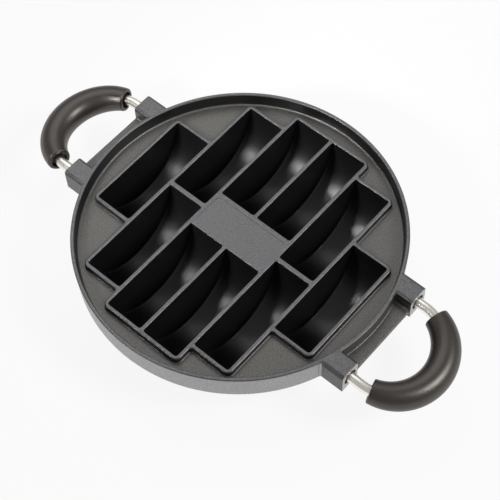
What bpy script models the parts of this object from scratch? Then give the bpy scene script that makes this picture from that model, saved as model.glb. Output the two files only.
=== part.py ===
"""Round cast cake mould with ten half-moon cavities and two bow handles.

The pan is one casting. Each handle is a bent steel rod whose two ends sit in lugs cast on the rim,
held by a set screw under each lug, with a moulded grip round its bow.
+X runs along the handle axis, +Y along the cavities and +Z up. The origin is under the pan's centre,
on the plane that the cavities' feet stand on. All sizes are in metres.
"""
import math

import bmesh
import bpy
from mathutils import Vector

# Cavities: half discs lying across X, with a short straight part at the mouth
CAVITY_LENGTH = 0.0859
CAVITY_WIDTH = 0.0306
CAVITY_STRAIGHT = 0.0021
CAVITY_FILLET = 0.00175
MOUTH_CHAMFER = 0.0005
COLUMN_WALL = 0.0029
MIDDLE_END_WALL = 0.0037
INNER_END_GAP = 0.0333

# Ridge block that carries the cavities' mouths, and the shells under them
RIDGE_WALL = 0.0029
RIDGE_HEIGHT = 0.0050
RIDGE_INNER_RADIUS = 0.0025
RIDGE_CHAMFER = 0.0007
SHELL_WALL = 0.0028
FOOT_WALL = 0.0022
PANEL_MARGIN_X = 0.0032
PANEL_MARGIN_Y = 0.0038
PANEL_RADIUS = 0.0035
PANEL_STEP = 0.0004
PANEL_DRAFT = 0.0001

# Pan
FLOOR_MARGIN = 0.0014
FLOOR_THICKNESS = 0.0030
FLOOR_DEPTH = 0.0104
COVE_RADIUS = 0.0018
RIM_DRAFT = 0.0006
RIM_WALL = 0.0028
RIM_ROUND = 0.0007
SKIRT_HEIGHT = 0.0220
SKIRT_TAPER = 0.0006

# Lugs and webs
LUG_WIDTH = 0.0168
LUG_HEIGHT = 0.0200
LUG_REACH = 0.0098
LUG_TOP_ROUND = 0.0028
LUG_BOTTOM_ROUND = 0.0010
LUG_FACE_EDGE = 0.0004
WEB_THICKNESS = 0.0030
WEB_DROP = 0.0110
WEB_SETBACK = 0.0005

# Handles
ROD_DIAMETER = 0.0080
ROD_SPREAD = 0.0745
ROD_DROP = 0.0095
ROD_CHAMFER = 0.0007
BORE_DEPTH = 0.0145
MOUTH_GAP = 0.0016
MOUTH_DEPTH = 0.0040
LEG_LENGTH = 0.0080
BOW_REACH = 0.0347
BOW_TILT = math.radians(9.6)
TILT_START = 0.0030
TILT_BLEND = 0.0120
GRIP_SPAN = math.radians(74)
GRIP_MIDDLE_DIAMETER = 0.0222
GRIP_END_DIAMETER = 0.0178
GRIP_ROUND = 0.0014
RECESS_DIAMETER = 0.0126
RECESS_DEPTH = 0.0030

# Set screws
SCREW_DIAMETER = 0.0050
SCREW_SUNK = 0.0004
SCREW_CHAMFER = 0.0005
SOCKET_ACROSS_FLATS = 0.0025
SOCKET_DEPTH = 0.0020

# Gap between pieces that touch
FIT_GAP = 0.0003

# Facets
PAN_SIDES = 80
ARC_STEPS = 20
FILLET_STEPS = 2
CORNER_STEPS = 4
EDGE_STEPS = 2
ROD_SIDES = 12
GRIP_SIDES = 18
GRIP_STEPS = 18
BARE_STEPS = 2
BORE_SIDES = 16
PAST = 0.0010
SHARP_ANGLE = math.radians(35)

# Heights, from the feet up
ARC_RADIUS = CAVITY_LENGTH / 2
CAVITY_DEPTH = CAVITY_STRAIGHT + ARC_RADIUS
RIDGE_TOP = FOOT_WALL + CAVITY_DEPTH
ARC_CENTRE = RIDGE_TOP - CAVITY_STRAIGHT
FLOOR_TOP = RIDGE_TOP - RIDGE_HEIGHT
RIM_TOP = FLOOR_TOP + FLOOR_DEPTH
PLATE_MIDDLE = FLOOR_TOP - FLOOR_THICKNESS / 2
ROD_HEIGHT = RIM_TOP - ROD_DROP

# Plan positions of the cavities, column by column
COLUMN_PITCH = CAVITY_WIDTH + COLUMN_WALL
INNER_X = COLUMN_PITCH / 2
MIDDLE_X = INNER_X + COLUMN_PITCH
OUTER_X = MIDDLE_X + COLUMN_PITCH
INNER_Y = (INNER_END_GAP + CAVITY_LENGTH) / 2
MIDDLE_Y = (MIDDLE_END_WALL + CAVITY_LENGTH) / 2
RIDGE_HALF_X = CAVITY_WIDTH / 2 + RIDGE_WALL
RIDGE_HALF_Y = CAVITY_LENGTH / 2 + RIDGE_WALL

# Pan radii, set by the ridge block's furthest corner
RIDGE_REACH = max(
    math.hypot(column + RIDGE_HALF_X, row + RIDGE_HALF_Y)
    for column, row in ((INNER_X, INNER_Y), (MIDDLE_X, MIDDLE_Y), (OUTER_X, 0.0))
)
COVE_START = RIDGE_REACH + FLOOR_MARGIN
RIM_INNER = COVE_START + COVE_RADIUS + RIM_DRAFT
RIM_RADIUS = RIM_INNER + RIM_WALL
RIM_MIDDLE = RIM_INNER + RIM_WALL / 2

# Handle places
LUG_FACE = RIM_RADIUS + LUG_REACH
BOW_START = LUG_FACE + LEG_LENGTH
BORE_END = LUG_FACE - BORE_DEPTH
MOUTH_START = LUG_FACE - MOUTH_DEPTH - MOUTH_GAP
LUG_BOTTOM = RIM_TOP - LUG_HEIGHT
SCREW_X = (BORE_END + MOUTH_START) / 2


def cavity_places():
    """Plan centres of all ten cavities."""
    places = [(side * OUTER_X, 0.0) for side in (-1, 1)]
    for column, row in ((MIDDLE_X, MIDDLE_Y), (INNER_X, INNER_Y)):
        for side in (-1, 1):
            places += [(side * column, end * row) for end in (-1, 1)]
    return places


def add_object(name, vertices, faces, colour=None, roughness=0.5, metallic=0.0):
    """Makes one object with its own Principled material."""
    mesh = bpy.data.meshes.new(name)
    mesh.from_pydata([tuple(point) for point in vertices], [], faces)
    work = bmesh.new()
    work.from_mesh(mesh)
    bmesh.ops.recalc_face_normals(work, faces=work.faces)
    work.to_mesh(mesh)
    work.free()
    mesh.shade_smooth()
    mesh.set_sharp_from_angle(angle=SHARP_ANGLE)
    piece = bpy.data.objects.new(name, mesh)
    bpy.context.collection.objects.link(piece)
    if colour:
        material = bpy.data.materials.new(name)
        material.use_nodes = True
        shader = material.node_tree.nodes["Principled BSDF"]
        shader.inputs["Base Color"].default_value = (*colour, 1.0)
        shader.inputs["Roughness"].default_value = roughness
        shader.inputs["Metallic"].default_value = metallic
        mesh.materials.append(material)
    return piece


def combine(target, operation, name, vertices, faces):
    """Adds a hidden operand, and the Boolean on the target that uses it."""
    operand = add_object(name, vertices, faces)
    operand.hide_render = True
    operand.display_type = "WIRE"
    boolean = target.modifiers.new(name, "BOOLEAN")
    boolean.operation = operation
    boolean.solver = "EXACT"
    boolean.object = operand


def bridge(first, second, count):
    """Quads between two rings of equal length, given by their first indices."""
    return [
        (first + i, first + (i + 1) % count, second + (i + 1) % count, second + i)
        for i in range(count)
    ]


def stacked(rings):
    """Closed solid through a list of equal rings of 3-D points, with flat ends."""
    count = len(rings[0])
    vertices = [point for ring in rings for point in ring]
    faces = [tuple(range(count)), tuple(range(len(vertices) - count, len(vertices)))]
    for level in range(len(rings) - 1):
        faces += bridge(level * count, (level + 1) * count, count)
    return vertices, faces


def looped(rings):
    """Closed solid through rings that lead back to the first ring."""
    count = len(rings[0])
    vertices = [point for ring in rings for point in ring]
    faces = []
    for level in range(len(rings)):
        faces += bridge(level * count, (level + 1) % len(rings) * count, count)
    return vertices, faces


def level_rings(outline, levels):
    """Rings of outline(grow) at each (height, grow)."""
    return [[(x, y, height) for x, y in outline(grow)] for height, grow in levels]


def rounded(corners, grow):
    """Outline with an arc at each corner, moved outwards by grow.

    Each corner is (x, y, radius, out_x, out_y): out points away from the material along X and Y, and
    the radius is negative at an inner corner.
    """
    points = []
    for x, y, radius, out_x, out_y in corners:
        turned_radius = abs(radius + grow)
        side = 1 if radius > 0 else -1
        centre_x = x + grow * out_x - side * turned_radius * out_x
        centre_y = y + grow * out_y - side * turned_radius * out_y
        start = math.atan2(side * out_y, side * out_x) - side * math.pi / 4
        for step in range(CORNER_STEPS + 1):
            angle = start + side * math.pi / 2 * step / CORNER_STEPS
            points.append((centre_x + turned_radius * math.cos(angle),
                           centre_y + turned_radius * math.sin(angle)))
    return points


def block_corners(half_x, half_y, radius):
    """The four corners of a rectangle about the origin, counter-clockwise."""
    return [(sx * half_x, sy * half_y, radius, sx, sy) for sx, sy in ((1, 1), (-1, 1), (-1, -1), (1, -1))]


def ridge_outline(grow):
    """Stepped outline of the ridge block, counter-clockwise from the +X side."""
    outer = RIDGE_WALL + CAVITY_FILLET
    steps = (
        (OUTER_X + RIDGE_HALF_X, RIDGE_HALF_Y, outer),
        (MIDDLE_X + RIDGE_HALF_X, RIDGE_HALF_Y, -RIDGE_INNER_RADIUS),
        (MIDDLE_X + RIDGE_HALF_X, MIDDLE_Y + RIDGE_HALF_Y, outer),
        (INNER_X + RIDGE_HALF_X, MIDDLE_Y + RIDGE_HALF_Y, -RIDGE_INNER_RADIUS),
        (INNER_X + RIDGE_HALF_X, INNER_Y + RIDGE_HALF_Y, outer),
    )
    corners = []
    for quarter_x, quarter_y in ((1, 1), (-1, 1), (-1, -1), (1, -1)):
        order = steps if quarter_x * quarter_y > 0 else steps[::-1]
        corners += [
            (quarter_x * x, quarter_y * y, radius, quarter_x, quarter_y) for x, y, radius in order
        ]
    return rounded(corners, grow)


def panel_outline(grow):
    """Shallow panel in the middle of the centre plate."""
    half_x = MIDDLE_X - CAVITY_WIDTH / 2 - PANEL_MARGIN_X
    half_y = INNER_END_GAP / 2 - PANEL_MARGIN_Y
    return rounded(block_corners(half_x, half_y, PANEL_RADIUS), grow)


def revolved(profile, sides):
    """Solid turned about Z from (radius, height) points that start and end on the axis."""
    vertices = [(0.0, 0.0, profile[0][1]), (0.0, 0.0, profile[-1][1])]
    inner = profile[1:-1]
    for radius, height in inner:
        for side in range(sides):
            angle = 2 * math.pi * side / sides
            vertices.append((radius * math.cos(angle), radius * math.sin(angle), height))
    faces = []
    for level in range(len(inner) - 1):
        faces += bridge(2 + level * sides, 2 + (level + 1) * sides, sides)
    last = 2 + (len(inner) - 1) * sides
    for side in range(sides):
        following = (side + 1) % sides
        faces.append((0, 2 + side, 2 + following))
        faces.append((1, last + side, last + following))
    return vertices, faces


def quarter_arc(centre_r, centre_z, radius, start_degrees, steps):
    """Points of a quarter circle in a profile, counter-clockwise, or clockwise for negative steps."""
    turn = math.copysign(90, steps)
    return [
        (centre_r + radius * math.cos(math.radians(start_degrees + turn * step / abs(steps))),
         centre_z + radius * math.sin(math.radians(start_degrees + turn * step / abs(steps))))
        for step in range(abs(steps) + 1)
    ]


def pan_profile():
    """Half section of the pan: floor, cove, rim and skirt."""
    skirt_foot = RIM_RADIUS - SKIRT_TAPER
    skirt_bottom = RIM_TOP - SKIRT_HEIGHT
    skirt_inner = skirt_foot - RIM_WALL
    points = [(0.0, FLOOR_TOP)]
    points += quarter_arc(COVE_START, FLOOR_TOP + COVE_RADIUS, COVE_RADIUS, -90, CORNER_STEPS)
    points += quarter_arc(RIM_INNER + RIM_ROUND, RIM_TOP - RIM_ROUND, RIM_ROUND, 180, -EDGE_STEPS)
    points += quarter_arc(RIM_RADIUS - RIM_ROUND, RIM_TOP - RIM_ROUND, RIM_ROUND, 90, -EDGE_STEPS)
    points += quarter_arc(skirt_foot - RIM_ROUND, skirt_bottom + RIM_ROUND, RIM_ROUND, 0, -EDGE_STEPS)
    points += [(skirt_inner, skirt_bottom), (skirt_inner, FLOOR_TOP - FLOOR_THICKNESS)]
    points.append((0.0, FLOOR_TOP - FLOOR_THICKNESS))
    return points


def half_disc(centre, arc_radius, half_width, fillet, top, mouth=None):
    """Half disc lying across X, rounded along both arcs.

    The arc's centre is at ARC_CENTRE. The top is cut flat at the given height. A mouth is the height
    of an edge break, above which the outline widens by MOUTH_CHAMFER.
    """
    slices = []
    for side in (-1, 1):
        turn = [math.pi / 2 * step / FILLET_STEPS for step in range(FILLET_STEPS + 1)]
        turn = turn if side < 0 else turn[::-1]
        for angle in turn:
            slices.append((side * (half_width - fillet * (1 - math.cos(angle))),
                           arc_radius - fillet * (1 - math.sin(angle))))
    vertices = []
    for x, radius in slices:
        start = math.asin(max(ARC_CENTRE - top, 0.0) / radius)
        for step in range(ARC_STEPS + 1):
            angle = start + (math.pi - 2 * start) * step / ARC_STEPS
            vertices.append((centre[0] + x, centre[1] + radius * math.cos(angle),
                             ARC_CENTRE - radius * math.sin(angle)))
    row = ARC_STEPS + 1
    faces = []
    for index in range(len(slices) - 1):
        for step in range(ARC_STEPS):
            corner = index * row + step
            faces.append((corner, corner + 1, corner + row + 1, corner + row))
    last = (len(slices) - 1) * row
    faces.append(tuple(range(row)))
    faces.append(tuple(range(last, last + row)))
    ring = [index * row for index in range(len(slices))]
    ring += [index * row + ARC_STEPS for index in reversed(range(len(slices)))]
    if mouth is not None:
        for height, grow in ((mouth - MOUTH_CHAMFER, 0.0), (mouth, MOUTH_CHAMFER), (top, MOUTH_CHAMFER)):
            raised = []
            for place in range(len(slices) * 2):
                index = place if place < len(slices) else 2 * len(slices) - 1 - place
                end = 1 if place < len(slices) else -1
                x, radius = slices[index]
                lean_x = (abs(x) - (half_width - fillet)) / fillet
                lean_y = (radius - (arc_radius - fillet)) / fillet
                raised.append(len(vertices))
                vertices.append((centre[0] + x + math.copysign(grow * lean_x, x),
                                 centre[1] + end * (radius + grow * lean_y), height))
            for place in range(len(ring)):
                following = (place + 1) % len(ring)
                faces.append((ring[place], ring[following], raised[following], raised[place]))
            ring = raised
    faces.append(tuple(ring))
    return vertices, faces


def turned_along(axis, profile, sides, centre):
    """Solid turned about a line along X or Z through centre, from (distance, radius) points."""
    rings = []
    for distance, radius in profile:
        ring = []
        for side in range(sides):
            angle = 2 * math.pi * side / sides
            across, along = radius * math.cos(angle), radius * math.sin(angle)
            if axis == "X":
                ring.append((distance, centre[1] + across, centre[2] + along))
            else:
                ring.append((centre[0] + across, centre[1] + along, distance))
        rings.append(ring)
    return stacked(rings)


def lug_rings(row):
    """Rings of a lug on the +X side, from inside the rim wall to its machined face."""
    corners = [
        (row + side * LUG_WIDTH / 2, height, radius, side, up)
        for side, height, radius, up in (
            (1, RIM_TOP, LUG_TOP_ROUND, 1), (-1, RIM_TOP, LUG_TOP_ROUND, 1),
            (-1, LUG_BOTTOM, LUG_BOTTOM_ROUND, -1), (1, LUG_BOTTOM, LUG_BOTTOM_ROUND, -1),
        )
    ]
    section = rounded(corners, 0.0)
    return [
        [(math.sqrt(RIM_MIDDLE ** 2 - y ** 2), y, z) for y, z in section],
        [(LUG_FACE - LUG_FACE_EDGE, y, z) for y, z in section],
        [(LUG_FACE, y, z) for y, z in rounded(corners, -LUG_FACE_EDGE)],
    ]


def web_outline(overlap):
    """Plan of the web between the two lugs on the +X side, running into the rim wall and the lugs."""
    half = (ROD_SPREAD - LUG_WIDTH) / 2 + overlap
    end = math.asin(half / RIM_MIDDLE)
    steps = 3 * CORNER_STEPS
    points = []
    for step in range(steps + 1):
        angle = end - 2 * end * step / steps
        points.append((RIM_MIDDLE * math.cos(angle), RIM_MIDDLE * math.sin(angle)))
    edge = LUG_FACE - WEB_SETBACK
    return points + [(edge, -half), (edge, half)]


def mirrored(vertices, side):
    """The same points on the +X or the -X side."""
    return [(side * x, y, z) for x, y, z in vertices]


def bow_point(angle):
    """Point of the rod's centre line on its bow: the angle is 0 at the middle of the grip."""
    x = BOW_START + BOW_REACH * math.cos(angle)
    return x, ROD_SPREAD / 2 * math.sin(angle), rod_height_at(x)


def rod_height_at(x):
    """The rod runs level in the lugs, then the bow tilts down after a soft bend."""
    past = x - LUG_FACE - TILT_START
    slope = math.tan(BOW_TILT)
    if past <= 0:
        return ROD_HEIGHT
    if past < TILT_BLEND:
        return ROD_HEIGHT - slope * past * past / (2 * TILT_BLEND)
    return ROD_HEIGHT - slope * (past - TILT_BLEND / 2)


def rod_stations():
    """Points of the rod's centre line, from its end in the lug at -Y to the one at +Y."""
    row = ROD_SPREAD / 2
    leg = [(x, row, rod_height_at(x)) for x in (BORE_END + FIT_GAP + ROD_CHAMFER, LUG_FACE + TILT_START)]
    bare = [
        bow_point(math.pi / 2 + (GRIP_SPAN - math.pi / 2) * step / BARE_STEPS) for step in range(BARE_STEPS)
    ]
    half = leg + bare
    gripped = [bow_point(GRIP_SPAN * (2 * step / GRIP_STEPS - 1)) for step in range(GRIP_STEPS + 1)]
    return [(x, -y, z) for x, y, z in half] + gripped + half[::-1]


def tube_ring(stations, index, radius, sides, slide=0.0):
    """Circle square to the line through the stations, moved by slide along it."""
    before = Vector(stations[max(index - 1, 0)])
    after = Vector(stations[min(index + 1, len(stations) - 1)])
    along = (after - before).normalized()
    side = along.cross(Vector((0.0, 0.0, 1.0))).normalized()
    up = side.cross(along)
    centre = Vector(stations[index]) + along * slide
    return [
        tuple(centre + (side * math.cos(turn) + up * math.sin(turn)) * radius)
        for turn in (2 * math.pi * step / sides for step in range(sides))
    ]


def make_casting():
    """Pan, ridge block, cavities, feet, lugs and webs as one body."""
    casting = add_object("mould_casting", *revolved(pan_profile(), PAN_SIDES),
                         colour=(0.035, 0.034, 0.034), roughness=0.45, metallic=0.3)
    ridge_levels = ((PLATE_MIDDLE, 0.0), (RIDGE_TOP - RIDGE_CHAMFER, 0.0), (RIDGE_TOP, -RIDGE_CHAMFER))
    combine(casting, "UNION", "ridge_block", *stacked(level_rings(ridge_outline, ridge_levels)))
    for number, place in enumerate(cavity_places()):
        shell = half_disc(place, ARC_RADIUS + SHELL_WALL, CAVITY_WIDTH / 2 + SHELL_WALL,
                          CAVITY_FILLET + SHELL_WALL, PLATE_MIDDLE)
        combine(casting, "UNION", f"cavity_shell_{number}", *shell)
    web_top = RIM_TOP - WEB_DROP
    for side in (-1, 1):
        web = stacked([[(x, y, z) for x, y in web_outline(PAST)] for z in (web_top - WEB_THICKNESS, web_top)])
        combine(casting, "UNION", f"web_{side}", mirrored(web[0], side), web[1])
        for end in (-1, 1):
            lug = stacked(lug_rings(end * ROD_SPREAD / 2))
            combine(casting, "UNION", f"lug_{side}_{end}", mirrored(lug[0], side), lug[1])
    for number, place in enumerate(cavity_places()):
        cavity = half_disc(place, ARC_RADIUS, CAVITY_WIDTH / 2, CAVITY_FILLET, RIDGE_TOP + PAST, RIDGE_TOP)
        combine(casting, "DIFFERENCE", f"cavity_{number}", *cavity)
    bore_radius = ROD_DIAMETER / 2 + FIT_GAP
    bore = ((BORE_END, bore_radius), (MOUTH_START, bore_radius),
            (LUG_FACE - MOUTH_DEPTH, bore_radius + MOUTH_GAP), (LUG_FACE + PAST, bore_radius + MOUTH_GAP))
    screw_hole = ((LUG_BOTTOM - PAST, SCREW_DIAMETER / 2), (ROD_HEIGHT, SCREW_DIAMETER / 2))
    for side in (-1, 1):
        for end in (-1, 1):
            row = end * ROD_SPREAD / 2
            hole = turned_along("X", bore, BORE_SIDES, (0.0, row, ROD_HEIGHT))
            combine(casting, "DIFFERENCE", f"bore_{side}_{end}", mirrored(hole[0], side), hole[1])
            hole = turned_along("Z", screw_hole, BORE_SIDES, (SCREW_X, row, 0.0))
            combine(casting, "DIFFERENCE", f"screw_hole_{side}_{end}", mirrored(hole[0], side), hole[1])
    panel_levels = ((RIDGE_TOP - PANEL_STEP, -PANEL_DRAFT), (RIDGE_TOP, 0.0), (RIDGE_TOP + PAST, 0.0))
    combine(casting, "DIFFERENCE", "panel", *stacked(level_rings(panel_outline, panel_levels)))
    reach = RIM_RADIUS
    floor = [
        [(sx * reach, sy * reach, height) for sx, sy in ((1, 1), (-1, 1), (-1, -1), (1, -1))]
        for height in (-SHELL_WALL, 0.0)
    ]
    combine(casting, "DIFFERENCE", "feet_plane", *stacked(floor))


def make_handles():
    """A bent rod and a moulded grip on each side."""
    stations = rod_stations()
    last = len(stations) - 1
    radius = ROD_DIAMETER / 2
    rings = [tube_ring(stations, 0, radius - ROD_CHAMFER, ROD_SIDES, -ROD_CHAMFER)]
    rings += [tube_ring(stations, index, radius, ROD_SIDES) for index in range(last + 1)]
    rings.append(tube_ring(stations, last, radius - ROD_CHAMFER, ROD_SIDES, ROD_CHAMFER))
    rod = stacked(rings)
    grip = grip_solid(stations)
    for side, name in ((-1, "left"), (1, "right")):
        add_object(f"handle_rod_{name}", mirrored(rod[0], side), rod[1],
                   colour=(0.62, 0.58, 0.52), roughness=0.25, metallic=1.0)
        add_object(f"handle_grip_{name}", mirrored(grip[0], side), grip[1],
                   colour=(0.030, 0.028, 0.026), roughness=0.42)


def grip_solid(stations):
    """Barrel grip round the bow, with a recess at each end and a bore for the rod."""
    first = (len(stations) - GRIP_STEPS) // 2
    last = first + GRIP_STEPS
    inside = range(first, last + 1)
    middle = (first + last) / 2
    end_radius = GRIP_END_DIAMETER / 2
    swell = (GRIP_MIDDLE_DIAMETER - GRIP_END_DIAMETER) / 2
    bore = ROD_DIAMETER / 2 + FIT_GAP
    outer = []
    for index in inside:
        share = abs(index - middle) / (last - middle)
        radius = end_radius + swell * (1 - share * share)
        outer.append(tube_ring(stations, index, radius, GRIP_SIDES))
    recess = RECESS_DIAMETER / 2
    ends = {}
    turns = [math.pi / 2 * step / EDGE_STEPS for step in range(1, EDGE_STEPS + 1)]
    profile = [
        (end_radius - GRIP_ROUND * (1 - math.cos(turn)), GRIP_ROUND * math.sin(turn)) for turn in turns
    ]
    floor = GRIP_ROUND - RECESS_DEPTH
    profile += [(recess, GRIP_ROUND), (recess, floor), (bore, floor)]
    for index, out in ((last, 1), (first, -1)):
        ends[out] = [
            tube_ring(stations, index, radius, GRIP_SIDES, out * slide) for radius, slide in profile
        ]
    through = [tube_ring(stations, index, bore, GRIP_SIDES) for index in reversed(inside[1:-1])]
    return looped(outer + ends[1] + through + ends[-1][::-1])


def make_screws():
    """Socket set screws, from under each lug up to the rod."""
    top = ROD_HEIGHT - ROD_DIAMETER / 2 - FIT_GAP
    bottom = LUG_BOTTOM + SCREW_SUNK
    radius = SCREW_DIAMETER / 2 - FIT_GAP
    profile = ((bottom, radius - SCREW_CHAMFER), (bottom + SCREW_CHAMFER, radius),
               (top - SCREW_CHAMFER, radius), (top, radius - SCREW_CHAMFER))
    socket = ((bottom - PAST, SOCKET_ACROSS_FLATS / math.sqrt(3)),
              (bottom + SOCKET_DEPTH, SOCKET_ACROSS_FLATS / math.sqrt(3)))
    corners = [(side, end) for side in (-1, 1) for end in (-1, 1)]
    for number, (side, end) in enumerate(corners, start=1):
        centre = (side * SCREW_X, end * ROD_SPREAD / 2, 0.0)
        screw = add_object(f"rod_set_screw_{number}", *turned_along("Z", profile, BORE_SIDES, centre),
                           colour=(0.10, 0.10, 0.11), roughness=0.4, metallic=1.0)
        combine(screw, "DIFFERENCE", f"socket_{number}", *turned_along("Z", socket, 6, centre))


for leftover in list(bpy.data.objects):
    bpy.data.objects.remove(leftover)
make_casting()
make_handles()
make_screws()
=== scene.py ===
"""Looks for the round cast cake mould: finer meshes, materials, floor, light and camera.

All sizes are in metres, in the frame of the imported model: +X along the handle axis, +Y along the
cavities, +Z up, with the origin under the pan's centre.
"""
import math

import bmesh
import bpy
from mathutils import Matrix, Vector


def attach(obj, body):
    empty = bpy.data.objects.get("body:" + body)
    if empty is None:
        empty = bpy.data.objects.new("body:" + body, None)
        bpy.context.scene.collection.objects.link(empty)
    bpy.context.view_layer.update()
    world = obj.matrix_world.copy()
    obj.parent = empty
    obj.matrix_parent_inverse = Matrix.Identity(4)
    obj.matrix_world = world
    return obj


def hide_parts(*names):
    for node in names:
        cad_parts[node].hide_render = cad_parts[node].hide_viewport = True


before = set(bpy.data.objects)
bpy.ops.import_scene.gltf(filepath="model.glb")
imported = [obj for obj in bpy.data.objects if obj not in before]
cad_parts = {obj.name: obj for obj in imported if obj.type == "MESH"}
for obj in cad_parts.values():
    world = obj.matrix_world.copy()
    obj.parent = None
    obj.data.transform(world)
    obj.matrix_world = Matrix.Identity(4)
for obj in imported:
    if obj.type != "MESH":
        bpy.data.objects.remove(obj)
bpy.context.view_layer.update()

# Sizes shared with the solids
CAVITY_LENGTH = 0.0859
CAVITY_WIDTH = 0.0306
CAVITY_STRAIGHT = 0.0021
CAVITY_FILLET = 0.00175
COLUMN_WALL = 0.0029
MIDDLE_END_WALL = 0.0037
INNER_END_GAP = 0.0333
RIDGE_WALL = 0.0029
RIDGE_HEIGHT = 0.0050
RIDGE_INNER_RADIUS = 0.0025
SHELL_WALL = 0.0028
FOOT_WALL = 0.0022
PANEL_MARGIN_X = 0.0032
PANEL_MARGIN_Y = 0.0038
PANEL_RADIUS = 0.0035
PANEL_STEP = 0.0004
PANEL_DRAFT = 0.0001
FLOOR_MARGIN = 0.0014
FLOOR_THICKNESS = 0.0030
FLOOR_DEPTH = 0.0104
COVE_RADIUS = 0.0018
RIM_DRAFT = 0.0006
RIM_WALL = 0.0028
RIM_ROUND = 0.0007
SKIRT_HEIGHT = 0.0220
SKIRT_TAPER = 0.0006
LUG_WIDTH = 0.0168
LUG_HEIGHT = 0.0200
LUG_REACH = 0.0098
LUG_TOP_ROUND = 0.0028
LUG_BOTTOM_ROUND = 0.0010
LUG_FACE_EDGE = 0.0004
WEB_THICKNESS = 0.0030
WEB_DROP = 0.0110
WEB_SETBACK = 0.0005
ROD_DIAMETER = 0.0080
ROD_SPREAD = 0.0745
ROD_DROP = 0.0095
ROD_CHAMFER = 0.0007
BORE_DEPTH = 0.0145
MOUTH_GAP = 0.0016
MOUTH_DEPTH = 0.0040
LEG_LENGTH = 0.0080
BOW_REACH = 0.0347
BOW_TILT = math.radians(9.6)
TILT_START = 0.0030
TILT_BLEND = 0.0120
GRIP_SPAN = math.radians(74)
GRIP_MIDDLE_DIAMETER = 0.0222
GRIP_END_DIAMETER = 0.0178
GRIP_ROUND = 0.0014
RECESS_DIAMETER = 0.0126
RECESS_DEPTH = 0.0030
SCREW_DIAMETER = 0.0050
SCREW_SUNK = 0.0004
SCREW_CHAMFER = 0.0005
SOCKET_ACROSS_FLATS = 0.0025
SOCKET_DEPTH = 0.0020
FIT_GAP = 0.0003
PAST = 0.0010

# Finer edges than the solids have
CAVITY_DISH = 0.0012
MOUTH_ROUND = 0.0006
RIDGE_ROUND = 0.0010
RIDGE_BASE = 0.0008
WALL_FILLET = 0.0010
LUG_SINK = 0.00003
SHELL_NUDGE = 0.000004
WELD = 0.000003
FILLET_START = math.radians(10)

# Facets
PAN_SIDES = 256
ARC_STEPS = 87
FILLET_STEPS = 6
CORNER_STEPS = 10
WEB_STEPS = 6 * CORNER_STEPS
DISH_STEPS = 8
EDGE_STEPS = 4
GRIP_EDGE_STEPS = 8
ROD_SIDES = 48
LEG_STEPS = 16
GRIP_SIDES = 64
GRIP_STEPS = 96
RECESS_STEPS = 2
BORE_SIDES = 48
SCREW_SIDES = 96

# Shading: edges sharper than the angle stay sharp, and large faces rule the normals
SHARP_ANGLE = math.radians(40)
AREA_WEIGHT = 100

# Heights and places, worked out as in the solids
ARC_RADIUS = CAVITY_LENGTH / 2
RIDGE_TOP = FOOT_WALL + CAVITY_STRAIGHT + ARC_RADIUS
ARC_CENTRE = RIDGE_TOP - CAVITY_STRAIGHT
FLOOR_TOP = RIDGE_TOP - RIDGE_HEIGHT
RIM_TOP = FLOOR_TOP + FLOOR_DEPTH
PLATE_MIDDLE = FLOOR_TOP - FLOOR_THICKNESS / 2
ROD_HEIGHT = RIM_TOP - ROD_DROP
COLUMN_PITCH = CAVITY_WIDTH + COLUMN_WALL
INNER_X = COLUMN_PITCH / 2
MIDDLE_X = INNER_X + COLUMN_PITCH
OUTER_X = MIDDLE_X + COLUMN_PITCH
INNER_Y = (INNER_END_GAP + CAVITY_LENGTH) / 2
MIDDLE_Y = (MIDDLE_END_WALL + CAVITY_LENGTH) / 2
RIDGE_HALF_X = CAVITY_WIDTH / 2 + RIDGE_WALL
RIDGE_HALF_Y = CAVITY_LENGTH / 2 + RIDGE_WALL
RIDGE_REACH = max(
    math.hypot(column + RIDGE_HALF_X, row + RIDGE_HALF_Y)
    for column, row in ((INNER_X, INNER_Y), (MIDDLE_X, MIDDLE_Y), (OUTER_X, 0.0))
)
COVE_START = RIDGE_REACH + FLOOR_MARGIN
RIM_INNER = COVE_START + COVE_RADIUS + RIM_DRAFT
RIM_RADIUS = RIM_INNER + RIM_WALL
RIM_MIDDLE = RIM_INNER + RIM_WALL / 2
LUG_FACE = RIM_RADIUS + LUG_REACH
BOW_START = LUG_FACE + LEG_LENGTH
BORE_END = LUG_FACE - BORE_DEPTH
MOUTH_START = LUG_FACE - MOUTH_DEPTH - MOUTH_GAP
LUG_BOTTOM = RIM_TOP - LUG_HEIGHT
SCREW_X = (BORE_END + MOUTH_START) / 2
ROW = ROD_SPREAD / 2
BORE_RADIUS = ROD_DIAMETER / 2 + FIT_GAP
WEB_ROUND = WEB_THICKNESS / 4
RECESS_LIP = GRIP_ROUND / 4

# Corners of a square, counter-clockwise
QUARTERS = ((1, 1), (-1, 1), (-1, -1), (1, -1))

# Places of the casting's finishes in its list of materials, and how its faces are told apart
PAN, CAVITY, MACHINED, OUTSIDE, LAND = range(5)
STEEP = 0.5
FACE_TOLERANCE = LUG_FACE_EDGE / 100

# Coats of the casting: dark ground, light ground, flecks, metallic share, roughness, height of relief
INSIDE_COAT = ((0.084, 0.082, 0.078), (0.109, 0.106, 0.100), (0.164, 0.159, 0.149), 0.65, 0.42, 0.000015)
# The lands coat is more metallic and smoother than the inside coat; given also to the edge roundings, it
# paints brighter highlight lines there
LAND_COAT = ((0.094, 0.094, 0.098), (0.112, 0.112, 0.116), (0.150, 0.150, 0.152), 0.85, 0.35, 0.000003)
OUTSIDE_COAT = ((0.250, 0.250, 0.256), (0.300, 0.300, 0.306), (0.400, 0.400, 0.400), 0.98, 0.38, 0.000012)
ROUGHNESS_SPREAD = 0.03

# Values of a noise between which most of it lies, and those from which flecks show
NOISE_LOW, NOISE_HIGH = 0.3, 0.7
FLECK_LOW, FLECK_HIGH = 0.44, 0.62


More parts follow.
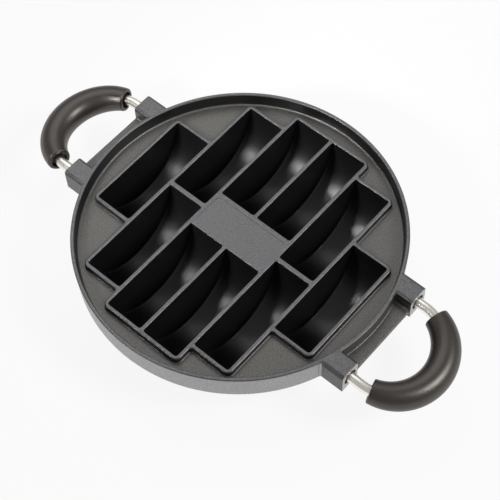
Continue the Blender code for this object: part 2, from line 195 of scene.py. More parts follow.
class Nodes:
    """Builds one material's nodes."""

    def __init__(self, name):
        self.material = bpy.data.materials.new(name)
        self.material.use_nodes = True
        self.tree = self.material.node_tree
        self.shader = self.tree.nodes["Principled BSDF"]
        self.place = self.add("ShaderNodeTexCoord").outputs["Object"]

    def add(self, kind):
        """New node."""
        return self.tree.nodes.new(kind)

    def link(self, source, target):
        """Feeds one socket into another."""
        self.tree.links.new(source, target)

    def noise(self, scale, detail=2.0, stretch=(1.0, 1.0, 1.0)):
        """Noise over the object's own coordinates, in cycles per metre."""
        mapping = self.add("ShaderNodeMapping")
        mapping.inputs["Scale"].default_value = stretch
        self.link(self.place, mapping.inputs["Vector"])
        made = self.add("ShaderNodeTexNoise")
        made.inputs["Scale"].default_value = scale
        made.inputs["Detail"].default_value = detail
        self.link(mapping.outputs["Vector"], made.inputs["Vector"])
        return made.outputs["Fac"]

    def ranged(self, source, start, end, low=NOISE_LOW, high=NOISE_HIGH):
        """The source's range low to high, spread over start to end."""
        made = self.add("ShaderNodeMapRange")
        for socket, value in (("From Min", low), ("From Max", high), ("To Min", start), ("To Max", end)):
            made.inputs[socket].default_value = value
        self.link(source, made.inputs["Value"])
        return made.outputs["Result"]

    def mix(self, share, dark, light):
        """Colour between two colours, the dark one given as numbers or as a socket."""
        made = self.add("ShaderNodeMix")
        made.data_type = "RGBA"
        self.link(share, made.inputs["Factor"])
        colours = [socket for socket in made.inputs if socket.type == "RGBA"]
        if isinstance(dark, tuple):
            colours[0].default_value = (*dark, 1.0)
        else:
            self.link(dark, colours[0])
        colours[1].default_value = (*light, 1.0)
        return next(socket for socket in made.outputs if socket.type == "RGBA")

    def bump(self, height, distance, strength=1.0, below=None):
        """Surface relief of the given height in metres, on top of another one."""
        made = self.add("ShaderNodeBump")
        made.inputs["Distance"].default_value = distance
        made.inputs["Strength"].default_value = strength
        self.link(height, made.inputs["Height"])
        if below is not None:
            self.link(below, made.inputs["Normal"])
        return made.outputs["Normal"]

    def finish(self, colour, roughness, normal, metallic=0.0, specular=0.5):
        """Sets the shader and gives the material."""
        self.link(colour, self.shader.inputs["Base Color"])
        self.link(roughness, self.shader.inputs["Roughness"])
        self.link(normal, self.shader.inputs["Normal"])
        self.shader.inputs["Metallic"].default_value = metallic
        self.shader.inputs["Specular IOR Level"].default_value = specular
        return self.material


def coat_material(name, dark, light, fleck, shine, rough, height):
    """Non-stick coat: a clouded ground with fine pale flecks, satin, over an orange peel."""
    made = Nodes(name)
    grain = made.noise(scale=1300.0)
    ground = made.mix(made.noise(scale=38.0, detail=4.0), dark, light)
    flecks = made.ranged(grain, 0.0, 1.0, FLECK_LOW, FLECK_HIGH)
    colour = made.mix(flecks, ground, fleck)
    roughness = made.ranged(grain, rough + ROUGHNESS_SPREAD, rough - ROUGHNESS_SPREAD)
    peel = made.bump(made.noise(scale=500.0), height)
    relief = made.bump(grain, height, strength=0.4, below=peel)
    return made.finish(colour, roughness, relief, metallic=shine)


def cavity_material():
    """The same coat in the cavities, smoother, with faint strokes along the arcs; its darker tone is
    painted shade.
    """
    made = Nodes("nonstick_coat_cavity")
    strokes = made.noise(scale=1300.0, stretch=(1.3, 0.8, 0.8))
    cloud = made.noise(scale=50.0, detail=3.0)
    # Darker than the inside coat: painted shade in the cavities and on steep walls above the floor
    colour = made.mix(cloud, dark=(0.056, 0.0548, 0.0532), light=(0.070, 0.0686, 0.0664))
    roughness = made.ranged(strokes, start=0.28, end=0.33)
    relief = made.bump(strokes, distance=0.00006, strength=0.8)
    made.shader.inputs["Specular Tint"].default_value = (0.80, 0.84, 1.0, 1.0)
    return made.finish(colour, roughness, relief, metallic=0.85)


def machined_material():
    """Bare cast aluminium left by milling the lug faces and bores."""
    made = Nodes("machined_aluminium")
    strokes = made.noise(scale=900.0, stretch=(1.0, 0.15, 3.0))
    colour = made.mix(strokes, dark=(0.38, 0.375, 0.365), light=(0.56, 0.555, 0.545))
    roughness = made.ranged(strokes, start=0.34, end=0.48)
    relief = made.bump(strokes, distance=0.00003, strength=0.6)
    return made.finish(colour, roughness, relief, metallic=1.0)


def steel_material():
    """Bright drawn steel with a nickel tone, clouded a little by handling."""
    made = Nodes("bright_steel")
    cloud = made.noise(scale=120.0, detail=3.0)
    colour = made.mix(cloud, dark=(0.92, 0.88, 0.80), light=(0.98, 0.96, 0.91))
    roughness = made.ranged(made.noise(scale=45.0), start=0.24, end=0.30)
    relief = made.bump(made.noise(scale=300.0), distance=0.000001, strength=0.2)
    return made.finish(colour, roughness, relief, metallic=1.0)


def grip_material():
    """Moulded heat-resistant resin with a fine grain."""
    made = Nodes("grip_resin")
    grain = made.noise(scale=1100.0, detail=3.0)
    cloud = made.noise(scale=45.0, detail=3.0)
    colour = made.mix(cloud, dark=(0.0095, 0.0076, 0.0062), light=(0.0150, 0.0122, 0.0102))
    roughness = made.ranged(grain, start=0.39, end=0.34)
    pores = made.bump(made.noise(scale=520.0, detail=3.0), distance=0.00012, strength=0.6)
    relief = made.bump(grain, distance=0.00005, strength=0.7, below=pores)
    made.shader.inputs["Specular Tint"].default_value = (1.0, 0.93, 0.86, 1.0)
    return made.finish(colour, roughness, relief, specular=0.95)


def screw_material():
    """Black oxide steel."""
    made = Nodes("black_steel")
    grain = made.noise(scale=900.0, detail=3.0)
    colour = made.mix(grain, dark=(0.06, 0.06, 0.068), light=(0.13, 0.13, 0.14))
    roughness = made.ranged(grain, start=0.34, end=0.5)
    relief = made.bump(grain, distance=0.00002, strength=0.5)
    return made.finish(colour, roughness, relief, metallic=1.0)


def add_object(name, vertices, faces, materials, finish=0):
    """Makes one mesh object whose faces all take one of the materials."""
    mesh = bpy.data.meshes.new(name)
    mesh.from_pydata([tuple(point) for point in vertices], [], faces)
    for material in materials:
        mesh.materials.append(material)
    work = bmesh.new()
    work.from_mesh(mesh)
    bmesh.ops.recalc_face_normals(work, faces=work.faces)
    for face in work.faces:
        face.material_index = finish
        face.smooth = True
    work.to_mesh(mesh)
    work.free()
    piece = bpy.data.objects.new(name, mesh)
    bpy.context.scene.collection.objects.link(piece)
    return piece


def soften(piece):
    """Smooth shading that keeps sharp edges sharp and flat faces flat."""
    piece.data.shade_smooth()
    piece.data.set_sharp_from_angle(angle=SHARP_ANGLE)
    weighted = piece.modifiers.new("weighted_normals", "WEIGHTED_NORMAL")
    weighted.keep_sharp = True
    weighted.weight = AREA_WEIGHT
    return piece


def quarter_turns(steps=EDGE_STEPS):
    """Angles from nothing to a quarter turn."""
    return [math.pi / 2 * step / steps for step in range(steps + 1)]


def full_turns(sides):
    """Angles all the way round."""
    return [2 * math.pi * step / sides for step in range(sides)]


def bridge(first, second, count):
    """Quads between two rings of equal length, given by their first indices."""
    return [
        (first + i, first + (i + 1) % count, second + (i + 1) % count, second + i)
        for i in range(count)
    ]


def stacked(rings):
    """Closed solid through a list of equal rings, with flat ends."""
    count = len(rings[0])
    vertices = [point for ring in rings for point in ring]
    faces = [tuple(range(count)), tuple(range(len(vertices) - count, len(vertices)))]
    for level in range(len(rings) - 1):
        faces += bridge(level * count, (level + 1) * count, count)
    return vertices, faces


def looped(rings):
    """Closed solid through rings that lead back to the first ring."""
    count = len(rings[0])
    vertices = [point for ring in rings for point in ring]
    faces = []
    for level in range(len(rings)):
        faces += bridge(level * count, (level + 1) % len(rings) * count, count)
    return vertices, faces


def level_rings(outline, levels):
    """Rings of outline(grow) at each (height, grow)."""
    return [[(x, y, height) for x, y in outline(grow)] for height, grow in levels]


def rounded(corners, grow):
    """Outline with an arc at each corner (x, y, radius, out_x, out_y), moved outwards by grow."""
    points = []
    for x, y, radius, out_x, out_y in corners:
        turned_radius = abs(radius + grow)
        side = 1 if radius > 0 else -1
        centre_x = x + grow * out_x - side * turned_radius * out_x
        centre_y = y + grow * out_y - side * turned_radius * out_y
        start = math.atan2(side * out_y, side * out_x) - side * math.pi / 4
        for step in range(CORNER_STEPS + 1):
            angle = start + side * math.pi / 2 * step / CORNER_STEPS
            points.append((centre_x + turned_radius * math.cos(angle),
                           centre_y + turned_radius * math.sin(angle)))
    return points


def ridge_outline(grow):
    """Stepped outline of the ridge block, counter-clockwise from the +X side."""
    outer = RIDGE_WALL + CAVITY_FILLET
    steps = (
        (OUTER_X + RIDGE_HALF_X, RIDGE_HALF_Y, outer),
        (MIDDLE_X + RIDGE_HALF_X, RIDGE_HALF_Y, -RIDGE_INNER_RADIUS),
        (MIDDLE_X + RIDGE_HALF_X, MIDDLE_Y + RIDGE_HALF_Y, outer),
        (INNER_X + RIDGE_HALF_X, MIDDLE_Y + RIDGE_HALF_Y, -RIDGE_INNER_RADIUS),
        (INNER_X + RIDGE_HALF_X, INNER_Y + RIDGE_HALF_Y, outer),
    )
    corners = []
    for quarter_x, quarter_y in QUARTERS:
        order = steps if quarter_x * quarter_y > 0 else steps[::-1]
        corners += [
            (quarter_x * x, quarter_y * y, radius, quarter_x, quarter_y) for x, y, radius in order
        ]
    return rounded(corners, grow)


def panel_outline(grow):
    """Shallow panel in the middle of the centre plate."""
    half_x = MIDDLE_X - CAVITY_WIDTH / 2 - PANEL_MARGIN_X
    half_y = INNER_END_GAP / 2 - PANEL_MARGIN_Y
    corners = [(sx * half_x, sy * half_y, PANEL_RADIUS, sx, sy) for sx, sy in QUARTERS]
    return rounded(corners, grow)


def arc(centre_r, centre_z, radius, start, turn, steps):
    """Points of an arc in a profile, counter-clockwise for a turn above zero."""
    angles = [start + turn * step / steps for step in range(steps + 1)]
    return [(centre_r + radius * math.cos(angle), centre_z + radius * math.sin(angle)) for angle in angles]


def pan_profile():
    """Half section of the pan: floor, cove, rim and skirt."""
    skirt_foot = RIM_RADIUS - SKIRT_TAPER
    skirt_bottom = RIM_TOP - SKIRT_HEIGHT
    skirt_inner = skirt_foot - RIM_WALL
    square = math.pi / 2
    points = [(0.0, FLOOR_TOP)]
    points += arc(COVE_START, FLOOR_TOP + COVE_RADIUS, COVE_RADIUS, -square, square, CORNER_STEPS)
    points += arc(RIM_INNER + RIM_ROUND, RIM_TOP - RIM_ROUND, RIM_ROUND, math.pi, -square, EDGE_STEPS)
    points += arc(RIM_RADIUS - RIM_ROUND, RIM_TOP - RIM_ROUND, RIM_ROUND, square, -square, EDGE_STEPS)
    points += arc(skirt_foot - RIM_ROUND, skirt_bottom + RIM_ROUND, RIM_ROUND, 0.0, -square, EDGE_STEPS)
    points += [(skirt_inner, skirt_bottom), (skirt_inner, FLOOR_TOP - FLOOR_THICKNESS)]
    points.append((0.0, FLOOR_TOP - FLOOR_THICKNESS))
    return points


def revolved(profile, sides):
    """Solid turned about Z from (radius, height) points that start and end on the axis."""
    vertices = [(0.0, 0.0, profile[0][1]), (0.0, 0.0, profile[-1][1])]
    inner = profile[1:-1]
    for radius, height in inner:
        vertices += [
            (radius * math.cos(turn), radius * math.sin(turn), height) for turn in full_turns(sides)
        ]
    faces = []
    for level in range(len(inner) - 1):
        faces += bridge(2 + level * sides, 2 + (level + 1) * sides, sides)
    last = 2 + (len(inner) - 1) * sides
    for side in range(sides):
        following = (side + 1) % sides
        faces.append((0, 2 + side, 2 + following))
        faces.append((1, last + side, last + following))
    return vertices, faces


def half_disc(centre, arc_radius, half_width, fillet, top, flare=(), dish=0.0):
    """Half disc lying across X, rounded along both arcs, with its top cut flat.

    Flare is a list of (height, grow): above the first height the outline widens by grow. Dish is how far
    the bottom is hollowed across X, which fades out up the arc.
    """
    flat = half_width - fillet
    turns = quarter_turns(FILLET_STEPS)
    edge = [(fillet * math.cos(turn), fillet * (1 - math.sin(turn))) for turn in turns]
    slices = [(-flat - out, arc_radius - drop) for out, drop in edge]
    if dish:
        slices += [(flat * (2 * step / DISH_STEPS - 1), arc_radius) for step in range(1, DISH_STEPS)]
    slices += [(flat + out, arc_radius - drop) for out, drop in edge[::-1]]
    vertices = []
    for x, radius in slices:
        start = math.asin(max(ARC_CENTRE - top, 0.0) / radius)
        rise = dish * min(abs(x) / flat, 1.0) ** 2
        for step in range(ARC_STEPS + 1):
            angle = start + (math.pi - 2 * start) * step / ARC_STEPS
            reach = radius - rise * math.sin(angle) ** 2
            vertices.append((centre[0] + x, centre[1] + reach * math.cos(angle),
                             ARC_CENTRE - reach * math.sin(angle)))
    row = ARC_STEPS + 1
    faces = []
    for index in range(len(slices) - 1):
        for step in range(ARC_STEPS):
            corner = index * row + step
            faces.append((corner, corner + 1, corner + row + 1, corner + row))
    last = (len(slices) - 1) * row
    faces.append(tuple(range(row)))
    faces.append(tuple(range(last, last + row)))
    ring = [index * row for index in range(len(slices))]
    ring += [index * row + ARC_STEPS for index in reversed(range(len(slices)))]
    for height, grow in flare:
        raised = []
        for place in range(len(slices) * 2):
            index = place if place < len(slices) else 2 * len(slices) - 1 - place
            end = 1 if place < len(slices) else -1
            x, radius = slices[index]
            lean_x = max(abs(x) - flat, 0.0) / fillet
            lean_y = (radius - (arc_radius - fillet)) / fillet
            raised.append(len(vertices))
            vertices.append((centre[0] + x + math.copysign(grow * lean_x, x),
                             centre[1] + end * (radius + grow * lean_y), height))
        faces += [
            (ring[place], ring[(place + 1) % len(ring)], raised[(place + 1) % len(ring)], raised[place])
            for place in range(len(ring))
        ]
        ring = raised
    faces.append(tuple(ring))
    return vertices, faces


def turned_along(axis, profile, sides, centre):
    """Solid turned about a line along X or Z through centre, from (distance, radius) points."""
    rings = []
    for distance, radius in profile:
        ring = []
        for turn in full_turns(sides):
            across, along = radius * math.cos(turn), radius * math.sin(turn)
            if axis == "X":
                ring.append((distance, centre[1] + across, centre[2] + along))
            else:
                ring.append((centre[0] + across, centre[1] + along, distance))
        rings.append(ring)
    return stacked(rings)


def mirrored(vertices, side):
    """The same points on the +X or the -X side."""
    return [(side * x, y, z) for x, y, z in vertices]


def fillet_levels(radius):
    """(distance from the wall, grow) along a fillet, ending where it leaves the wall square."""
    steps = EDGE_STEPS + 1
    turns = [FILLET_START + (math.pi / 2 - FILLET_START) * step / steps for step in range(steps + 1)]
    return [(radius * (1 - math.cos(turn)), radius * (1 - math.sin(turn))) for turn in turns]


def lug_rings(row):
    """Rings of a lug on the +X side: wall fillet, straight body and machined face."""

    def section(grow, lift):
        corners = [
            (row + side * LUG_WIDTH / 2, height + (up > 0) * lift, radius, side, up)
            for side, height, radius, up in (
                (1, RIM_TOP - LUG_SINK, LUG_TOP_ROUND, 1), (-1, RIM_TOP - LUG_SINK, LUG_TOP_ROUND, 1),
                (-1, LUG_BOTTOM, LUG_BOTTOM_ROUND, -1), (1, LUG_BOTTOM, LUG_BOTTOM_ROUND, -1),
            )
        ]
        return rounded(corners, grow)

    def on_wall(distance, points):
        reach = RIM_RADIUS + distance
        return [(math.sqrt(reach ** 2 - y ** 2), y, z) for y, z in points]

    levels = fillet_levels(WALL_FILLET)
    rings = [on_wall(RIM_MIDDLE - RIM_RADIUS, section(levels[0][1], -levels[0][1]))]
    rings += [on_wall(distance, section(grow, -grow)) for distance, grow in levels]
    for turn in quarter_turns():
        x = LUG_FACE - LUG_FACE_EDGE * (1 - math.sin(turn))
        shrink = -LUG_FACE_EDGE * (1 - math.cos(turn))
        rings.append([(x, y, z) for y, z in section(shrink, 0.0)])
    return rings


def web_rings():
    """Rings of the web on the +X side, from the lug at -Y to the one at +Y."""
    half = (ROD_SPREAD - LUG_WIDTH) / 2 + PAST
    top, bottom = RIM_TOP - WEB_DROP, RIM_TOP - WEB_DROP - WEB_THICKNESS
    nose = LUG_FACE - WEB_SETBACK - WEB_ROUND
    rings = []
    for step in range(WEB_STEPS + 1):
        y = half * (2 * step / WEB_STEPS - 1)
        gap = (ROD_SPREAD - LUG_WIDTH) / 2 - abs(y)
        lift = 0.0
        if gap < WALL_FILLET:
            lean = 1 - max(gap, 0.0) / WALL_FILLET
            lift = WALL_FILLET * (1 - math.sqrt(max(1 - min(lean, math.cos(FILLET_START)) ** 2, 0.0)))
        wall = math.sqrt(RIM_RADIUS ** 2 - y ** 2)
        inside = math.sqrt(RIM_MIDDLE ** 2 - y ** 2)
        upper, lower = top + lift, bottom - lift
        ring = [(inside, lower), (inside, upper + WALL_FILLET)]
        ring += [(wall + distance, upper + grow) for distance, grow in fillet_levels(WALL_FILLET)]
        ring += [
            (nose + WEB_ROUND * math.cos(turn), upper - WEB_ROUND + WEB_ROUND * math.sin(turn))
            for turn in reversed(quarter_turns())
        ]
        ring += [
            (nose + WEB_ROUND * math.cos(turn), lower + WEB_ROUND - WEB_ROUND * math.sin(turn))
            for turn in quarter_turns()
        ]
        rings.append([(x, y, z) for x, z in ring])
    return rings


def cavity_places():
    """Plan centres of all ten cavities."""
    places = [(side * OUTER_X, 0.0) for side in (-1, 1)]
    for column, row in ((MIDDLE_X, MIDDLE_Y), (INNER_X, INNER_Y)):
        for side in (-1, 1):
            places += [(side * column, end * row) for end in (-1, 1)]
    return places


def ridge_levels():
    """(height, grow) up the ridge block: foot fillet, wall and rounded top."""
    base = fillet_levels(RIDGE_BASE)
    levels = [(PLATE_MIDDLE, base[0][1])]
    levels += [(FLOOR_TOP + distance, grow) for distance, grow in base]
    for turn in quarter_turns():
        height = RIDGE_TOP - RIDGE_ROUND * (1 - math.sin(turn))
        levels.append((height, -RIDGE_ROUND * (1 - math.cos(turn))))
    return levels


def mouth_flare():
    """(height, grow) up a cavity's rounded mouth."""
    flare = []
    for turn in quarter_turns():
        height = RIDGE_TOP - MOUTH_ROUND * (1 - math.sin(turn))
        flare.append((height, MOUTH_ROUND * (1 - math.cos(turn))))
    return flare + [(RIDGE_TOP + PAST, MOUTH_ROUND)]


def lug_holes(row):
    """Rod bore with its wide mouth, and screw hole, of a lug on the +X side."""
    bore = ((BORE_END, BORE_RADIUS), (MOUTH_START, BORE_RADIUS),
            (LUG_FACE - MOUTH_DEPTH, BORE_RADIUS + MOUTH_GAP), (LUG_FACE + PAST, BORE_RADIUS + MOUTH_GAP))
    screw_hole = ((LUG_BOTTOM - PAST, SCREW_DIAMETER / 2), (ROD_HEIGHT, SCREW_DIAMETER / 2))
    return (
        ("bore", turned_along("X", bore, BORE_SIDES, (0.0, row, ROD_HEIGHT))),
        ("screw_hole", turned_along("Z", screw_hole, BORE_SIDES, (SCREW_X, row, 0.0))),
    )


def below_feet():
    """Box under the plane that the feet stand on."""
    return stacked([
        [(sx * RIM_RADIUS, sy * RIM_RADIUS, height) for sx, sy in QUARTERS] for height in (-SHELL_WALL, 0.0)
    ])


def close_cracks(mesh):
    """Welds points that the Booleans left a few micrometres apart, and closes what stays open."""
    work = bmesh.new()
    work.from_mesh(mesh)
    bmesh.ops.remove_doubles(work, verts=work.verts, dist=WELD)
    bmesh.ops.holes_fill(work, edges=[edge for edge in work.edges if edge.is_boundary], sides=0)
    work.to_mesh(mesh)
    work.free()


def casting_finish(face):
    """Finish of one of the casting's faces, from the one it was made with and from its place."""
    reach = math.hypot(face.center.x, face.center.y)
    edge = RIDGE_TOP - RIDGE_ROUND if reach < RIDGE_REACH else RIM_TOP - RIM_ROUND
    raised = face.center.z > RIDGE_TOP and face.normal.z > STEEP
    if abs(abs(face.center.x) - LUG_FACE) < FACE_TOLERANCE or face.material_index == MACHINED:
        return MACHINED
    # Tops and their edge roundings take the lands coat; on the roundings this is painted highlight
    if raised or face.center.z > edge:
        return LAND
    if face.material_index != PAN or abs(face.normal.z) > STEEP:
        return face.material_index
    beyond = RIM_RADIUS - RIM_ROUND < reach < RIM_RADIUS + WALL_FILLET
    # Painted shade: the outer wall above the web, between the lugs, takes the darker inside coat in place
    # of the outside coat
    shaded_above_web = face.center.z > RIM_TOP - WEB_DROP and abs(face.center.y) < ROW - LUG_WIDTH / 2
    if beyond:
        return PAN if shaded_above_web else OUTSIDE
    # Painted shade: steep faces above the floor take the darker cavity coat
    return CAVITY if face.center.z > FLOOR_TOP else PAN


def make_casting(materials):
    """Pan, ridge block, cavities, feet, lugs and webs as one mesh."""
    casting = add_object("casting", *revolved(pan_profile(), PAN_SIDES), materials, PAN)
    operands = []

    def combine(operation, name, solid, finish, side=1):
        vertices, faces = solid
        operand = add_object(name, mirrored(vertices, side), faces, materials, finish)
        operands.append(operand)
        boolean = casting.modifiers.new(name, "BOOLEAN")
        boolean.operation = operation
        boolean.solver = "EXACT"
        boolean.object = operand

    combine("UNION", "ridge_block", stacked(level_rings(ridge_outline, ridge_levels())), PAN)
    for side in (-1, 1):
        combine("UNION", f"web_{side}", stacked(web_rings()), PAN, side)
        for end in (-1, 1):
            combine("UNION", f"lug_{side}_{end}", stacked(lug_rings(end * ROW)), PAN, side)
    for number, (x, y) in enumerate(cavity_places()):
        # A few micrometres keep shells from crossing at one point
        centre = (x, y + SHELL_NUDGE * (number + 1))
        shell = half_disc(centre, ARC_RADIUS + SHELL_WALL, CAVITY_WIDTH / 2 + SHELL_WALL,
                          CAVITY_FILLET + SHELL_WALL, PLATE_MIDDLE)
        combine("UNION", f"shell_{number}", shell, PAN)
    for number, centre in enumerate(cavity_places()):
        cavity = half_disc(centre, ARC_RADIUS, CAVITY_WIDTH / 2, CAVITY_FILLET, RIDGE_TOP,
                           mouth_flare(), CAVITY_DISH)
        combine("DIFFERENCE", f"cavity_{number}", cavity, CAVITY)
    for side in (-1, 1):
        for end in (-1, 1):
            for name, hole in lug_holes(end * ROW):
                combine("DIFFERENCE", f"{name}_{side}_{end}", hole, MACHINED, side)
    panel_levels = ((RIDGE_TOP - PANEL_STEP, -PANEL_DRAFT), (RIDGE_TOP, 0.0), (RIDGE_TOP + PAST, 0.0))
    combine("DIFFERENCE", "panel", stacked(level_rings(panel_outline, panel_levels)), PAN)
    combine("DIFFERENCE", "below_feet", below_feet(), PAN)

    made = bpy.data.meshes.new_from_object(casting.evaluated_get(bpy.context.evaluated_depsgraph_get()))
    made.name = "casting"
    close_cracks(made)
    casting.modifiers.clear()
    casting.data = made
    for operand in operands:
        bpy.data.objects.remove(operand)
    for face in made.polygons:
        face.material_index = casting_finish(face)
    return soften(casting)


def rod_height_at(x):
    """The rod runs level in the lugs, then the bow tilts down after a soft bend."""
    past = x - LUG_FACE - TILT_START
    slope = math.tan(BOW_TILT)
    if past <= 0:
        return ROD_HEIGHT
    if past < TILT_BLEND:
        return ROD_HEIGHT - slope * past * past / (2 * TILT_BLEND)
    return ROD_HEIGHT - slope * (past - TILT_BLEND / 2)


def bow_point(angle):
    """Point of the rod's centre line on its bow: the angle is 0 at the middle of the grip."""
    x = BOW_START + BOW_REACH * math.cos(angle)
    return x, ROW * math.sin(angle), rod_height_at(x)


def tube_ring(centre, along, radius, sides):
    """Circle round a point, square to a direction."""
    along = along.normalized()
    side = along.cross(Vector((0.0, 0.0, 1.0))).normalized()
    up = side.cross(along)
    return [
        tuple(centre + (side * math.cos(turn) + up * math.sin(turn)) * radius)
        for turn in full_turns(sides)
    ]


def rod_solid():
    """Bent rod from its chamfered end in the lug at -Y to the one at +Y, on the +X side."""
    start = BORE_END + FIT_GAP + ROD_CHAMFER
    tip_radius = ROD_DIAMETER / 2 - ROD_CHAMFER
    leg = [start + (BOW_START - start) * step / LEG_STEPS for step in range(LEG_STEPS)]
    half = [(x, ROW, rod_height_at(x)) for x in leg]
    bow = [bow_point(math.pi / 2 * (2 * step / GRIP_STEPS - 1)) for step in range(GRIP_STEPS + 1)]
    line = [Vector(p) for p in [(x, -y, z) for x, y, z in half] + bow + half[::-1]]
    rings = []
    for index, centre in enumerate(line):
        along = line[min(index + 1, len(line) - 1)] - line[max(index - 1, 0)]
        rings.append(tube_ring(centre, along, ROD_DIAMETER / 2, ROD_SIDES))
    for index, out in ((0, -1), (len(line) - 1, 1)):
        along = (line[index] - line[index - out]).normalized()
        tip = tube_ring(line[index] + along * ROD_CHAMFER, along * out, tip_radius, ROD_SIDES)
        rings.insert(0 if out < 0 else len(rings), tip)
    return stacked(rings)


def grip_solid():
    """Barrel grip round the bow on the +X side, with rounded ends, a recess and a bore for the rod."""
    line = [Vector(bow_point(GRIP_SPAN * (2 * step / GRIP_STEPS - 1))) for step in range(GRIP_STEPS + 1)]
    tangents = [line[min(i + 1, GRIP_STEPS)] - line[max(i - 1, 0)] for i in range(GRIP_STEPS + 1)]
    end_radius = GRIP_END_DIAMETER / 2
    swell = (GRIP_MIDDLE_DIAMETER - GRIP_END_DIAMETER) / 2
    recess = RECESS_DIAMETER / 2
    recess_floor = GRIP_ROUND - RECESS_DEPTH
    outer = []
    for index, centre in enumerate(line):
        share = abs(2 * index / GRIP_STEPS - 1)
        radius = end_radius + swell * (1 - share * share)
        outer.append(tube_ring(centre, tangents[index], radius, GRIP_SIDES))
    profile = [
        (end_radius - GRIP_ROUND * (1 - math.cos(turn)), GRIP_ROUND * math.sin(turn))
        for turn in quarter_turns(GRIP_EDGE_STEPS)[1:]
    ]
    profile += [
        (recess + RECESS_LIP * (1 - math.sin(turn)), GRIP_ROUND - RECESS_LIP * (1 - math.cos(turn)))
        for turn in quarter_turns()
    ]
    profile += [(recess, recess_floor), (BORE_RADIUS, recess_floor)]
    ends = {}
    for index, out in ((GRIP_STEPS, 1), (0, -1)):
        along = tangents[index].normalized()
        ends[out] = [
            tube_ring(line[index] + along * out * slide, along, radius, GRIP_SIDES)
            for radius, slide in profile
        ]
    through = [
        tube_ring(line[index], tangents[index], BORE_RADIUS, GRIP_SIDES)
        for index in range(GRIP_STEPS - RECESS_STEPS, RECESS_STEPS - 1, -1)
    ]
    return looped(outer + ends[1] + through + ends[-1][::-1])


def screw_solid(side, end):
    """Socket set screw with a domed rim, a hexagon socket and a chamfered point."""
    top = ROD_HEIGHT - ROD_DIAMETER / 2 - FIT_GAP
    bottom = LUG_BOTTOM + SCREW_SUNK
    radius = SCREW_DIAMETER / 2 - FIT_GAP
    flat = SOCKET_ACROSS_FLATS / 2
    turns = full_turns(SCREW_SIDES)
    corner = math.pi / 6

    def ring(height, reaches):
        return [
            (side * SCREW_X + reach * math.cos(turn), end * ROW + reach * math.sin(turn), height)
            for turn, reach in zip(turns, reaches)
        ]

    def circle(height, reach):
        return ring(height, [reach] * SCREW_SIDES)

    hexagon = [flat / math.cos((turn + corner) % (2 * corner) - corner) for turn in turns]
    rings = [ring(bottom + SOCKET_DEPTH, hexagon), ring(bottom, hexagon)]
    for turn in quarter_turns():
        height = bottom + SCREW_CHAMFER * (1 - math.cos(turn))
        rings.append(circle(height, radius - SCREW_CHAMFER * (1 - math.sin(turn))))
    rings += [circle(top - SCREW_CHAMFER, radius), circle(top, radius - SCREW_CHAMFER)]
    return stacked(rings)


def place_piece(piece, node):
    """Makes a piece stand for a node of the solids."""
    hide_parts(node)
    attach(piece, "root")


# Camera, at the photograph's angle
CAMERA_PLACE = Vector((0.358975, -0.371780, 0.872496))
CAMERA_LENS = 98.63
CAMERA_SENSOR = 36.0
CAMERA_AZIMUTH = math.radians(43.278)
CAMERA_ELEVATION = math.radians(58.736)
CAMERA_ROLL = math.radians(-2.895)


def make_camera():
    """Camera that stands where the photograph was taken from."""
    back = Vector((
        math.sin(CAMERA_AZIMUTH) * math.cos(CAMERA_ELEVATION),
        -math.cos(CAMERA_AZIMUTH) * math.cos(CAMERA_ELEVATION),
        math.sin(CAMERA_ELEVATION),
    ))
    level = Vector((0.0, 0.0, 1.0)).cross(back).normalized()
    up = back.cross(level)
    right = level * math.cos(CAMERA_ROLL) + up * math.sin(CAMERA_ROLL)
    up = up * math.cos(CAMERA_ROLL) - level * math.sin(CAMERA_ROLL)
    data = bpy.data.cameras.new("camera")
    data.lens = CAMERA_LENS
    data.sensor_width = CAMERA_SENSOR
    camera = bpy.data.objects.new("camera", data)
    turn = Matrix((right, up, back)).transposed().to_4x4()
    camera.matrix_world = Matrix.Translation(CAMERA_PLACE) @ turn
    bpy.context.scene.collection.objects.link(camera)
    bpy.context.scene.camera = camera


# Lamps: name, direction, distance, width, height, radiance, aim on the floor, spread in degrees
LAMPS = (
    ("broad_light", (-0.42, 0.34, 0.84), 1.30, 1.10, 0.90, 1.25, (0.0, 0.0), 180.0),
    ("front_light", (-0.24, -0.66, 0.64), 0.70, 0.15, 0.11, 122.0, (-0.05, 0.12), 28.0),
    ("side_light", (0.66, 0.31, 0.69), 2.50, 0.80, 0.80, 15.0, (0.0, 0.0), 180.0),
)
FULL_SPREAD = 180.0
WHITE = (1.0, 1.0, 1.0, 1.0)
WORLD_LIGHT = 0.12
WORLD_GLOSS = 0.33
FLOOR_HALF = 3.0
FLOOR_SHADOW = 0.10


def make_lamps():
    """Rectangular lamps. A narrower spread keeps the radiance straight ahead."""
    for name, direction, distance, width, height, radiance, aim, spread in LAMPS:
        data = bpy.data.lights.new(name, "AREA")
        data.shape = "RECTANGLE"
        data.size = width
        data.size_y = height
        data.spread = math.radians(spread)
        data.energy = radiance * math.pi * width * height
        if spread < FULL_SPREAD:
            lean = math.tan(data.spread / 2)
            data.energy *= (lean - data.spread / 2) / lean
        light = bpy.data.objects.new(name, data)
        light.location = Vector(direction).normalized() * distance
        light.rotation_euler = (light.location - Vector((*aim, 0.0))).to_track_quat("Z", "Y").to_euler()
        bpy.context.scene.collection.objects.link(light)


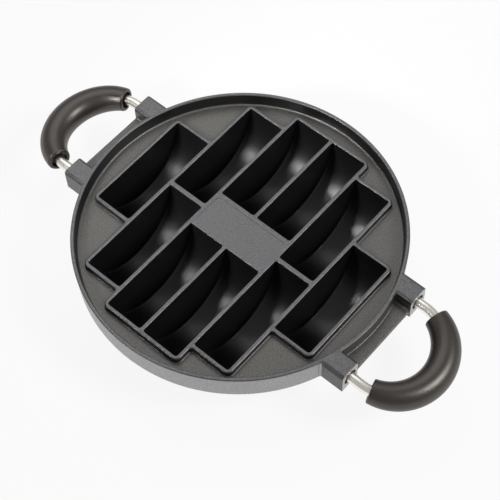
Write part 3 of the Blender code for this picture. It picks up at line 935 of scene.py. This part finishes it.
def blended(tree, plain, white, camera_share, gloss_share, output):
    """Shows plain to diffuse light, and shares of white to the camera and to shiny surfaces."""
    path = tree.nodes.new("ShaderNodeLightPath")
    seen = tree.nodes.new("ShaderNodeMath")
    seen.operation = "MAXIMUM"
    shares = (("Is Camera Ray", camera_share), ("Is Glossy Ray", gloss_share))
    for index, (ray, share) in enumerate(shares):
        scaled = tree.nodes.new("ShaderNodeMath")
        scaled.operation = "MULTIPLY"
        scaled.inputs[1].default_value = share
        tree.links.new(path.outputs[ray], scaled.inputs[0])
        tree.links.new(scaled.outputs[0], seen.inputs[index])
    blend = tree.nodes.new("ShaderNodeMixShader")
    tree.links.new(seen.outputs[0], blend.inputs["Fac"])
    tree.links.new(plain.outputs[0], blend.inputs[1])
    tree.links.new(white.outputs[0], blend.inputs[2])
    tree.links.new(blend.outputs[0], output.inputs["Surface"])


def make_floor():
    """White floor that keeps a soft shadow."""
    material = bpy.data.materials.new("white_floor")
    material.use_nodes = True
    tree = material.node_tree
    tree.nodes.clear()
    paper = tree.nodes.new("ShaderNodeBsdfDiffuse")
    paper.inputs["Color"].default_value = WHITE
    glow = tree.nodes.new("ShaderNodeEmission")
    seen_share = 1.0 - FLOOR_SHADOW
    blended(tree, paper, glow, seen_share, seen_share, tree.nodes.new("ShaderNodeOutputMaterial"))
    mesh = bpy.data.meshes.new("white_floor")
    corners = [(sx * FLOOR_HALF, sy * FLOOR_HALF, 0.0) for sx, sy in QUARTERS]
    mesh.from_pydata(corners, [], [tuple(range(len(corners)))])
    mesh.materials.append(material)
    floor = bpy.data.objects.new("white_floor", mesh)
    bpy.context.scene.collection.objects.link(floor)


def make_world():
    """Faint even light, white behind the floor and pale in what shiny surfaces mirror."""
    world = bpy.data.worlds.new("studio")
    bpy.context.scene.world = world
    world.use_nodes = True
    tree = world.node_tree
    tree.nodes.clear()
    room = tree.nodes.new("ShaderNodeBackground")
    room.inputs["Color"].default_value = WHITE
    room.inputs["Strength"].default_value = WORLD_LIGHT
    white = tree.nodes.new("ShaderNodeBackground")
    white.inputs["Color"].default_value = WHITE
    blended(tree, room, white, 1.0, WORLD_GLOSS, tree.nodes.new("ShaderNodeOutputWorld"))


make_camera()
make_lamps()
make_floor()
make_world()
casting = make_casting([
    coat_material("nonstick_coat", *INSIDE_COAT), cavity_material(), machined_material(),
    coat_material("nonstick_coat_outside", *OUTSIDE_COAT), coat_material("nonstick_coat_lands", *LAND_COAT),
])
place_piece(casting, "mould_casting")
rod, grip = rod_solid(), grip_solid()
steel, resin, oxide = steel_material(), grip_material(), screw_material()
for side, side_name in ((-1, "left"), (1, "right")):
    piece = add_object(f"rod_{side_name}", mirrored(rod[0], side), rod[1], [steel])
    place_piece(soften(piece), f"handle_rod_{side_name}")
    piece = add_object(f"grip_{side_name}", mirrored(grip[0], side), grip[1], [resin])
    place_piece(soften(piece), f"handle_grip_{side_name}")
screw_places = [(side, end) for side in (-1, 1) for end in (-1, 1)]
for number, (side, end) in enumerate(screw_places, start=1):
    piece = add_object(f"screw_{number}", *screw_solid(side, end), [oxide])
    place_piece(soften(piece), f"rod_set_screw_{number}")

bpy.context.scene.view_settings.view_transform = "Standard"
